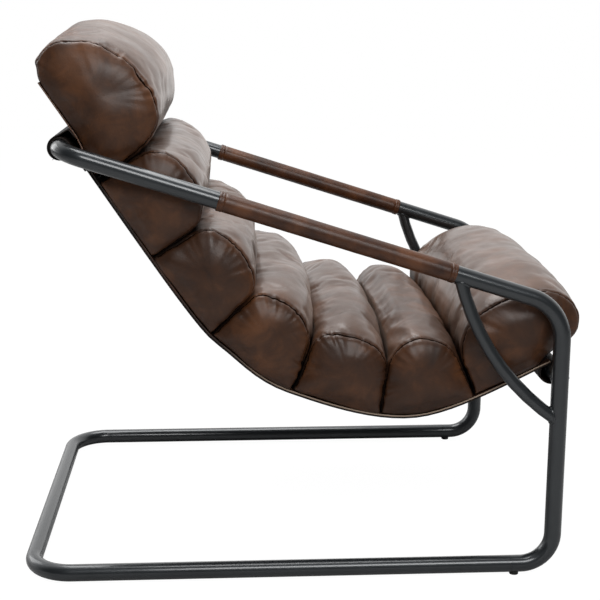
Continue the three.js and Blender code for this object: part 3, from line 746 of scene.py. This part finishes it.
# Depth and width of each dip in the leather
ROLLED_END = (0.0006, 0.0007)
BAND_GROOVE = (0.0006, 0.0006)
PULLED_LINE = (0.0003, 0.0007)
UNDER_SEAM = (0.0007, 0.05)  # its width is in radians
# Depth of the uneven pull, its length along the arm, and how often it changes round it
FINE_PULL, BROAD_PULL = (0.00012, 0.02, 3.0), (0.0001, 0.09, 7.0)


def hump(off, height, width):
    """A soft hump's height, at that distance from its middle."""
    return height * np.exp(-(off / width) ** 2)


def sleeve_radius(from_end, turn):
    """The sleeve's radius there: rolled end, raised band, groove, stitched line and seam."""
    radius = SLEEVE_RADIUS + BAND_RISE / (1 + math.exp((from_end - BAND_WIDTH) / BAND_BLUR))
    radius -= hump(from_end, *ROLLED_END)
    radius -= hump(from_end - BAND_WIDTH - BAND_GROOVE[1], *BAND_GROOVE)
    radius -= hump(from_end - BAND_WIDTH / 2, *PULLED_LINE)
    return radius - hump(turn, *UNDER_SEAM)


def pull(along, turn, seed, depth, length, often):
    return depth * noise.noise(Vector((along / length, turn * often, seed)))


def stitch_ring(centre, turn_in, half, end, name):
    """Stitches round the band at one end of a sleeve."""
    radius = sleeve_radius(STITCH_LINE, 3.0) + 0.0001
    spot = Matrix.Translation((0, radius, end * (half - STITCH_LINE)))
    times = round(2 * math.pi * radius / STITCH_PITCH)
    for k in range(times):
        stitch = one_stitch(name, STITCH_PITCH * 0.72, SLEEVE_THREAD)
        about = Matrix.Rotation(2 * math.pi * k / times, 4, "Z")
        place_mesh(stitch, Matrix.Translation(centre) @ turn_in @ about @ spot)
        yield stitch


# %% Two leather sleeves
END_REACH = 0.016  # the stretch beside each end where the rings lie closer
END_RINGS = [0.0, 0.0004, 0.001, 0.002, 0.0032, 0.0042, 0.0052, 0.0064, 0.0076, 0.0084, 0.009,
             0.0096, 0.0104, 0.012, END_REACH]
MIDDLE_RINGS = 40
SEAM_TURN = 0.5  # radians from the lowest line towards the seat
OUTER_RADIUS = 0.01401  # of the CAD's plain sleeve, whose box gives the length


def sleeve_tube(name, centre, along, half):
    """A plain ring, fed along the arm from one end of the sleeve to the other."""
    step = (half - END_REACH) / MIDDLE_RINGS
    steps = END_RINGS + [END_REACH + step * k for k in range(1, MIDDLE_RINGS + 1)]
    places = [-half + t for t in steps] + [half - t for t in reversed(steps[:-1])]
    start = centre + along * places[0]
    sleeve = start_ring(name, start, centre + along, SLEEVE_RADIUS, SLEEVE_SIDES)
    for before, after in zip(places, places[1:]):
        feed(along * (after - before))
    bpy.ops.mesh.select_all(action="SELECT")
    bpy.ops.mesh.normals_make_consistent(inside=False)
    switch("OBJECT")
    return sleeve


def shape_sleeve(sleeve, centre, along, half, side):
    """Sets each point's distance from the arm's axis."""
    under = Vector((0, along.z, -along.y)).normalized()
    if under.z > 0:
        under.negate()
    inward = Vector((-side, 0, 0))
    for vertex in sleeve.data.vertices:
        off = vertex.co - centre
        t = off.dot(along)
        round_it = (off - along * t).normalized()
        turn = math.atan2(round_it.dot(inward), round_it.dot(under)) - SEAM_TURN
        radius = sleeve_radius(half - abs(t), turn)
        radius += pull(t, turn, 5 + side, *FINE_PULL) + pull(t, turn, 9 + side, *BROAD_PULL)
        vertex.co = centre + along * t + round_it * radius


for side, word in SIDES:
    node = f"{word}_arm_sleeve"
    along = (arm_point(side, 0.4) - arm_point(side, 0.0)).normalized()
    centre = middle(node)
    centre.x = side * SIDE_X
    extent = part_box(node)[1].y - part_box(node)[0].y
    half = (extent / 2 - OUTER_RADIUS * abs(along.z)) / abs(along.y)
    sleeve = sleeve_tube(f"{word}_leather_sleeve", centre, along, half)
    shape_sleeve(sleeve, centre, along, half, side)
    add_wall(sleeve, SLEEVE_WALL)
    smooth(sleeve, 50)
    finish(sleeve, sleeve_leather, "sleeve_leather", node)
    turn_in = along.to_track_quat("Z", "Y").to_matrix().to_4x4()
    rows = [s for end in (-1, 1) for s in stitch_ring(centre, turn_in, half, end, "stitch")]
    stitches = join(rows, f"{word}_sleeve_stitches")
    finish(stitches, thread, "sleeve_leather")

# %% [markdown]
# ## Sling and the cushion's base
# The sling is one strip of bridle leather. It wraps round the top bar and the front bar, and
# each end is stitched through. The cushion's base lies on it, and a short loop at the base's
# top wraps round the bar as well, so the cushion can't slide. Each is a copy of its CAD
# sheet, because the sag is already right there. It is cut into strips, eased at its edges
# and made slightly uneven.

# %% Read and move the points of a mesh
def vectors(items, name):
    """That vector of each item, as the rows of an array."""
    values = np.empty(len(items) * 3, np.float32)
    items.foreach_get(name, values)
    return values.reshape(-1, 3).astype(float)


def coordinates(mesh):
    return vectors(mesh.vertices, "co")


def set_coordinates(mesh, co):
    mesh.vertices.foreach_set("co", co.astype(np.float32).ravel())
    mesh.update()


def vertex_normals(mesh):
    return vectors(mesh.vertex_normals, "vector")


def pick_edges(piece, wanted):
    """Selects the edges for which the test holds, in edit mode."""
    mesh = bmesh.from_edit_mesh(piece.data)
    for e in mesh.edges:
        e.select_set(wanted(e))
    bmesh.update_edit_mesh(piece.data)


def run_across(e):
    """How far an edge runs across the chair."""
    return abs(e.verts[0].co.x - e.verts[1].co.x)


# %% Sling, base and loop
STRIPS = 40
SIDEWAYS = 0.7  # a face whose normal has more X than this is a strip's cut edge
DRAPE_SIZE, FLAT_EDGE = 0.05, 0.01  # size of the hide's waves, and the stretch where they fade


def beside_cut_edge(e):
    faces = [abs(f.normal.x) > SIDEWAYS for f in e.link_faces]
    return len(faces) == 2 and faces[0] != faces[1]


def settle(piece, depth, seed):
    """The slight unevenness of a hide under load."""
    co, normals = coordinates(piece.data), vertex_normals(piece.data)
    uneven = np.array([noise.noise(Vector(p) / DRAPE_SIZE + Vector((seed, 0, 0))) for p in co])
    edge = np.clip((SEAM_X - np.abs(co[:, 0])) / FLAT_EDGE, 0.2, 1)
    set_coordinates(piece.data, co + normals * (depth * uneven * edge)[:, None])


def sheet(node, name, bevel, depth, seed, leather, slot):
    """A copy of a CAD sheet with eased edges, cut across into strips and made uneven."""
    piece = copy_of(node, name)
    switch("EDIT")
    bpy.ops.mesh.select_mode(type="EDGE")
    pick_edges(piece, beside_cut_edge)
    bpy.ops.mesh.bevel(offset=bevel, segments=2, profile=0.5)
    pick_edges(piece, lambda e: run_across(e) > SEAM_X)
    bpy.ops.mesh.subdivide(number_cuts=STRIPS)
    switch("OBJECT")
    settle(piece, depth, seed)
    smooth(piece, 40)
    finish(piece, leather, slot, node)
    return piece


sling = sheet("sling", "leather_sling", 0.0006, 0.00012, 3, sling_leather, "sling_leather")
base = sheet("cushion_underside", "cushion_base_leather", 0.0005, 0.0001, 21,
             base_leather, "cushion_leather")
loop = sheet("hanging_loop", "hanging_loop_leather", 0.0005, 0.00012, 33,
             sling_leather, "cushion_leather")


# %% Where the two ends of a sheet lie
ON_PLANE = 0.0002  # how near a point lies to the seam plane to count as on it


def tree_of(node):
    mesh = cad_mesh(node)
    return BVHTree.FromPolygons([v.co for v in mesh.vertices], [tuple(p.vertices) for p in mesh.polygons])


UNDERSIDE = tree_of("cushion_underside")


def free_ends(node, thickness):
    """The sheet's two ends in the side view: (outer corner, direction along the hem, way out)."""
    solid = bmesh.new()
    solid.from_mesh(cad_mesh(node))
    bmesh.ops.remove_doubles(solid, verts=solid.verts, dist=MERGE)
    rim = [e for e in solid.edges if all(abs(v.co.x - SEAM_X) < ON_PLANE for v in e.verts)
           and any(abs(f.normal.x) < 0.5 for f in e.link_faces)]
    ends = []
    for e in rim:
        if abs(e.calc_length() - thickness) > ON_PLANE / 2:
            continue
        outer = max(e.verts, key=lambda v: UNDERSIDE.find_nearest(v.co)[3])
        out = (outer.co - e.other_vert(outer).co).normalized()
        side = next(x for x in outer.link_edges if x in rim and x is not e)
        along = (side.other_vert(outer).co - outer.co).normalized()
        if abs(out.dot(along)) < 0.1:
            ends.append((outer.co.copy(), along.copy(), out.copy()))
    solid.free()
    return ends


# %% Hem stitches
HEM_ROWS = (0.005, 0.013)  # how far the two rows of stitches lie from a hem's end
SIDE_MARGIN = 0.006  # free of stitches at each side
STANDS_OUT = 0.0001


def hem_row(end, along, out, from_end, name):
    """A row of stitches across the chair, lying on the hem's outer face."""
    stitch = one_stitch(name, STITCH_PITCH * 0.7, HEM_THREAD)
    times = int(2 * (SEAM_X - SIDE_MARGIN) / STITCH_PITCH)
    repeat(stitch, times, (STITCH_PITCH, 0, 0))
    first = Vector((-(times - 1) * STITCH_PITCH / 2, end.y, end.z))
    place_mesh(stitch, Matrix.Translation(first + along * from_end + out * STANDS_OUT))
    return stitch


def stitch_hems(piece, node, thickness, slot):
    ends = free_ends(node, thickness)
    rows = [hem_row(*end, from_end, "stitch_row") for end in ends for from_end in HEM_ROWS]
    stitches = join(rows, piece.name + "_stitches")
    finish(stitches, thread, slot)
    return stitches


def flat_size(node, thickness):
    """The strip's width and length before it was bent, from its volume."""
    low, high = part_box(node)
    solid = bmesh.new()
    solid.from_mesh(cad_mesh(node))
    length = abs(solid.calc_volume()) / ((high.x - low.x) * thickness)
    solid.free()
    return (high.x - low.x, length)


def lay(piece, node, thickness):
    flat_size(node, thickness)
    print(piece.name, "was cut flat to", [round(v, 3) for v in flat_size(node, thickness)])


SLING_THICKNESS, COVER_THICKNESS = 0.0025, 0.002
stitches = stitch_hems(sling, "sling", SLING_THICKNESS, "sling_leather")
lay(sling, "sling", SLING_THICKNESS)
stitches = stitch_hems(loop, "hanging_loop", COVER_THICKNESS, "cushion_leather")
lay(loop, "hanging_loop", COVER_THICKNESS)
lay(base, "cushion_underside", COVER_THICKNESS)

# %% [markdown]
# ## Stuffed rolls
# Each roll is a sleeve of hide, sewn down along its valleys and closed by an end panel, and
# filled with foam and wadding. A modelled cushion looks stiff, so each one starts from its
# CAD solid, is remeshed into even cells, and is swollen by a cloth simulation while its
# seams and underside are held. It may swell only half way to its neighbour.

# %% A roll's blank, from the CAD solid
VOXEL = 0.0045
SEAM_CREASE = 0.75  # how far an edge stays sharp where the roll is rounded
SHARP = 0.7  # radians between two faces, from which an edge along a roll counts as a corner


def stays_sharp(e):
    on_seam = all(abs(abs(v.co.x) - SEAM_X) < 0.0005 for v in e.verts)
    return on_seam or (run_across(e) > 0.01 and e.calc_face_angle() > SHARP)


def roll_blank(node, name):
    piece = copy_of(node, name)
    switch("EDIT")
    pick_edges(piece, stays_sharp)
    bpy.ops.transform.edge_crease(value=SEAM_CREASE)
    switch("OBJECT")
    modify(piece, "SUBSURF", levels=2, render_levels=2)
    modify(piece, "REMESH", mode="VOXEL", voxel_size=VOXEL, use_smooth_shade=True)
    return piece


# %% What each point of a roll remembers from before the swelling
def distances(co, solids):
    """How far each point is from the nearest of the solids."""
    best = np.full(len(co), 1.0)
    for solid in solids:
        for i, point in enumerate(co):
            found = solid.find_nearest(Vector(point), best[i])
            if found[3] is not None:
                best[i] = min(best[i], found[3])
    return best


def store(mesh, name, values):
    layer = mesh.attributes.new(name, "FLOAT", "POINT")
    layer.data.foreach_set("value", values.astype(np.float32))


def recall(mesh, name):
    values = np.empty(len(mesh.vertices), np.float32)
    mesh.attributes[name].data.foreach_get("value", values)
    return values.astype(float)


def seam_sides(node):
    """The seam's straight pieces in the side view, from the CAD node's corners in the seam plane."""
    mesh = cad_mesh(node)
    on_seam = {v.index for v in mesh.vertices if abs(v.co.x - SEAM_X) < ON_PLANE}
    pieces = [e.vertices for e in mesh.edges if on_seam.issuperset(e.vertices)]
    return np.array([[mesh.vertices[i].co.yz for i in ends] for ends in pieces])


def to_sides(points, sides):
    """Each point's distance from the nearest of the straight pieces, all in the side view."""
    best = np.full(len(points), 1.0)
    for start, end in sides:
        run = end - start
        share = np.clip(((points - start) @ run) / max(run @ run, 1e-12), 0, 1)
        best = np.minimum(best, np.linalg.norm(points - start - share[:, None] * run, axis=1))
    return best


def remember(piece, node):
    """Keeps each point's first place, and how far it is from the seam and from the base.

    The distance from the seam is below 0 on the end panel.
    """
    mesh = piece.data
    co = coordinates(mesh)
    inside = SEAM_X - np.abs(co[:, 0])
    panel_side = -to_sides(co[:, 1:], seam_sides(node))
    store(mesh, "seam_gap", np.where(inside > 0, inside, panel_side))
    store(mesh, "base_gap", distances(co, [UNDERSIDE]))
    for axis, name in enumerate("xyz"):
        store(mesh, "first_" + name, co[:, axis])


# %% Swell a roll with a cloth simulation
LAST_FRAME = 20
HELD_BELOW = 0.003  # the skin is held where it is nearer than this to the base
DRAWN = 0.6  # how far each round of smoothing draws a point to its neighbours' mean


def evened(mesh, travel, rounds):
    """Smooths the points' travel over the mesh, so that only the broad swelling stays."""
    edges = np.empty(len(mesh.edges) * 2, np.int32)
    mesh.edges.foreach_get("vertices", edges)
    a, b = edges.reshape(-1, 2).T
    degree = np.bincount(a, minlength=len(travel)) + np.bincount(b, minlength=len(travel))
    for _ in range(rounds):
        for axis in range(3):
            total = np.bincount(a, travel[b, axis], len(travel))
            total += np.bincount(b, travel[a, axis], len(travel))
            travel[:, axis] = (1 - DRAWN) * travel[:, axis] + DRAWN * total / degree
    return travel


def swell(piece, neighbours, most):
    """Cloth under pressure, held along its seams and its underside, for 20 frames."""
    start = coordinates(piece.data)
    room = distances(start, [tree_of(n) for n in neighbours]) / 2 - SEAT_GAP
    held = np.abs(recall(piece.data, "seam_gap")) < VOXEL * 0.6
    held |= recall(piece.data, "base_gap") < HELD_BELOW
    group = piece.vertex_groups.new(name="held")
    group.add([int(i) for i in np.nonzero(held)[0]], 1.0, "REPLACE")
    cloth = piece.modifiers.new("swelling", "CLOTH")
    cover = cloth.settings
    cover.quality = 4
    cover.mass = 0.25
    cover.tension_stiffness = cover.compression_stiffness = 18
    cover.bending_stiffness = 3
    cover.shrink_min = -0.01
    cover.vertex_group_mass = "held"
    cover.use_pressure = True
    cover.uniform_pressure_force = 4
    cover.effector_weights.gravity = 0
    cloth.point_cache.frame_start, cloth.point_cache.frame_end = 1, LAST_FRAME
    for step in range(1, LAST_FRAME + 1):
        scene.frame_set(step)
    result = piece.evaluated_get(bpy.context.evaluated_depsgraph_get())
    moved = coordinates(result.data)
    piece.modifiers.remove(cloth)
    piece.vertex_groups.clear()
    scene.frame_set(1)
    travel = evened(piece.data, moved - start, 4)
    length = np.linalg.norm(travel, axis=1)
    cap = np.clip(room, 0, most)
    keep = np.minimum(1, cap / np.maximum(length, 1e-9))
    set_coordinates(piece.data, start + travel * keep[:, None])
    return round(float(length.max()), 4), round(float((length * keep).max()), 4)


# %% Fill the corners beside the valleys
CORNER_REACH, CORNER_GAP = 0.014, 0.0012


def valley_feet(node, neighbours):
    """Where each valley beside the roll meets the cushion's base, in the side view."""
    corners = cad_mesh("cushion_underside").vertices
    edge = np.array([v.co.yz for v in corners if abs(v.co.x - SEAM_X) < ON_PLANE])
    own = to_sides(edge, seam_sides(node))
    return [edge[np.argmin(own + to_sides(edge, seam_sides(other)))] for other in neighbours]


def fill_corners(piece, feet):
    """Draws a roll's rounded lower corners towards the valleys' feet, so that no hole shows."""
    co = coordinates(piece.data)
    for foot in feet:
        to_foot = foot - co[:, 1:]
        length = np.linalg.norm(to_foot, axis=1)
        share = np.clip(1 - length / CORNER_REACH, 0, 1)
        stop = np.clip(1 - CORNER_GAP / np.maximum(length, 1e-6), 0, 1)
        co[:, 1:] += to_foot * (share * stop)[:, None]
    set_coordinates(piece.data, co)


# %% Puckers and creases
def wave(a, b, seed):
    """Smooth noise from about -1 to 1 over two coordinates."""
    return np.array([noise.noise(Vector((p, q, seed))) for p, q in zip(a, b)]) * 1.6


def lump(co, size, seed):
    return np.array([noise.noise(Vector(p) / size + Vector((0, seed, 0))) for p in co])


def ramp(value, none, full):
    """0 where the value is at none, 1 where it is at full, and even in between."""
    return np.clip((value - none) / (full - none), 0, 1)


GIRTH_RADIUS = 0.075  # turns an angle round a roll into a length
PUCKER_SIZE, BROAD_PUCKER, PUCKERED_STRETCH = 0.0085, 0.016, 0.05
PANEL_BAND = 0.014  # how far puckers run on to an end panel
CREASE_SPACING, CREASE_LENGTH = 0.03, 0.11


def girth_of(first):
    """How far round the roll each point lies, as a length."""
    off_centre = first - first.mean(axis=0)
    return np.arctan2(off_centre[:, 2], off_centre[:, 1]) * GIRTH_RADIUS


def puckers(from_seam, girth, side, band, seed):
    """Gathers that run out from the seam, in some stretches of it more than in others."""
    reach = np.where(from_seam > 0, band, PANEL_BAND)
    some = np.clip(wave(girth / PUCKERED_STRETCH, side, seed + 2) + 0.35, 0, 1)
    fine = some * wave(girth / PUCKER_SIZE, side, seed + 3) * hump(from_seam, 1, reach)
    return fine + 0.5 * wave(girth / BROAD_PUCKER, side, seed + 5) * hump(from_seam, 1, 2 * reach)


def girth_creases(first, girth, seed):
    """Sharp folds round the roll, where the hide is slack."""
    across = first[:, 0] / CREASE_SPACING + 0.6 * wave(girth / 0.06, 0 * girth, seed + 6)
    creases = 1 - np.minimum(1, 2.2 * np.abs(wave(across, girth / CREASE_LENGTH, seed + 7)))
    return creases * np.clip(wave(first[:, 0] / 0.06, girth / 0.08, seed + 8) - 0.05, 0, 1)


# %% Seams and relief on a swollen roll
PUCKER_DEPTH, CREASE_DEPTH = 0.0020, 0.0005
# Depth and size of each kind of slackness
SLACK, FINE_SLACK, PANEL_SLACK = (0.0024, 0.075), (0.0009, 0.03), (0.0020, 0.038)
DOME, DOME_REACH = 0.006, 0.025  # how far an end panel stands out, and how soon
GROOVE = (0.0018, 0.0019)
LIP, LIP_PLACE = (0.0004, 0.004), 0.006  # the rubbed edge beside a seam
SEAM_HALF_WIDTH = 0.0015


def relief_of(first, from_seam, on_panel, off_base, band, seed):
    """How far the skin moves in or out: slackness, puckers, creases, domed panels and seams."""
    girth, side = girth_of(first), np.sign(first[:, 0]) * 5
    move = SLACK[0] * lump(first, SLACK[1], seed)
    move += FINE_SLACK[0] * lump(first, FINE_SLACK[1], seed + 20)
    move += PUCKER_DEPTH * puckers(from_seam, girth, side, band, seed) * off_base
    slack_skin = (1 - on_panel) * ramp(from_seam, 0, 0.02)
    move -= CREASE_DEPTH * girth_creases(first, girth, seed) * slack_skin
    dome = DOME * (1 - np.exp(-np.clip(-from_seam, 0, 1) / DOME_REACH))
    dome += PANEL_SLACK[0] * lump(first, PANEL_SLACK[1], seed + 40)
    seam = hump(np.abs(from_seam) - LIP_PLACE, *LIP) - hump(from_seam, *GROOVE)
    return move + (on_panel * dome + seam) * off_base


# %% Move the skin, and store where the seams, the painted sheen and the painted shade lie
# In each pair, an effect is nothing at the first and full at the second
# The second pair fades the crests' painted sheen out low in the valleys; the third adds painted shade
# there, and the next fades that painted shade away from a valley's foot
LOOSE, SHEEN_FADE_HEIGHTS, VALLEY_SHADE_HEIGHTS = (0.004, 0.024), (0.11, 0.075), (0.095, 0.045)  # heights above the base
VALLEY_SHADE_NEAR_FOOT = (0.15, 0.11)  # distances from a valley's foot
WAVER_LENGTH, STREAK_SIZE = 0.045, 0.09
NO_SEAM = 60  # mm, stored where the seam runs hidden along the base


def detail(piece, seed, seam_waver, band, sheen_left_off, feet):
    """Moves the skin, and stores its seams, where the crests' painted sheen is left off, and its painted
    valley shade.
    """
    modify(piece, "SUBSURF", levels=1, render_levels=1)
    mesh = piece.data
    co, normals = coordinates(mesh), vertex_normals(mesh)
    first = np.stack([recall(mesh, "first_" + axis) for axis in "xyz"], axis=1)
    rise = recall(mesh, "base_gap")
    off_base = ramp(rise, *LOOSE)
    waver = seam_waver * wave(girth_of(first) / WAVER_LENGTH, np.sign(first[:, 0]) * 5, seed)
    from_seam = recall(mesh, "seam_gap") - waver * off_base
    on_panel = ramp(from_seam, SEAM_HALF_WIDTH, -SEAM_HALF_WIDTH)
    move = relief_of(first, from_seam, on_panel, off_base, band, seed)
    set_coordinates(mesh, co + normals * move[:, None])
    store(mesh, "seam_mm", np.where(off_base > 0.15, from_seam * 1000, NO_SEAM))
    # Where the crests' painted sheen is left off: in streaks on some rolls, beside the seams, on the end
    # panels and low in the valleys
    streaks = np.clip(sheen_left_off * (1 + 0.7 * lump(first, STREAK_SIZE, seed + 30)), 0, 1)
    beside_seam = ramp(np.abs(from_seam), 1.82 * band, 0.42 * band)
    store(mesh, "polish_without_painted_sheen", np.max([on_panel, streaks, beside_seam, ramp(rise, *SHEEN_FADE_HEIGHTS)], axis=0))
    to_foot = np.min([np.linalg.norm(first[:, 1:] - foot, axis=1) for foot in feet], axis=0)
    # Painted shade in the valleys: strongest low down and near a valley's foot, never on an end panel
    store(mesh, "painted_valley_shade", (1 - on_panel) * ramp(rise, *VALLEY_SHADE_HEIGHTS) * ramp(to_foot, *VALLEY_SHADE_NEAR_FOOT))
    for name in ("seam_gap", "base_gap", "first_x", "first_y", "first_z"):
        mesh.attributes.remove(mesh.attributes[name])
    mesh.polygons.foreach_set("use_smooth", np.ones(len(mesh.polygons), bool))


# %% Make the seven rolls
# How much of the crests' painted sheen is left off, in streaks, on each roll; most on the fifth channel
# roll
SHEEN_LEFT_OFF = {"channel_roll_4": 0.25, "channel_roll_5": 0.5, "front_roll": 0.15}
# How far a roll may swell, less behind the head and the shoulders than in the seat
SEAT_CAP = 0.007
SWELL_CAP = {"headrest_roll": 0.004, "channel_roll_1": 0.004, "channel_roll_2": 0.005}
ROLL_ORDER = ["headrest_roll", *(f"channel_roll_{k}" for k in range(1, 6)), "front_roll"]
for number, node in enumerate(ROLL_ORDER):
    near = [n for n in ROLL_ORDER if abs(ROLL_ORDER.index(n) - number) == 1]
    roll = roll_blank(node, "stuffed_" + node)
    remember(roll, node)
    print(node, "free and capped swelling:", swell(roll, near, SWELL_CAP.get(node, SEAT_CAP)))
    feet = valley_feet(node, near)
    fill_corners(roll, feet)
    waver, band = (0.004, 0.018) if node == "headrest_roll" else (0.0015, 0.009)
    detail(roll, 11 * number + 2, waver, band, SHEEN_LEFT_OFF.get(node, 0.08), feet)
    finish(roll, cowhide, "cushion_leather", node)
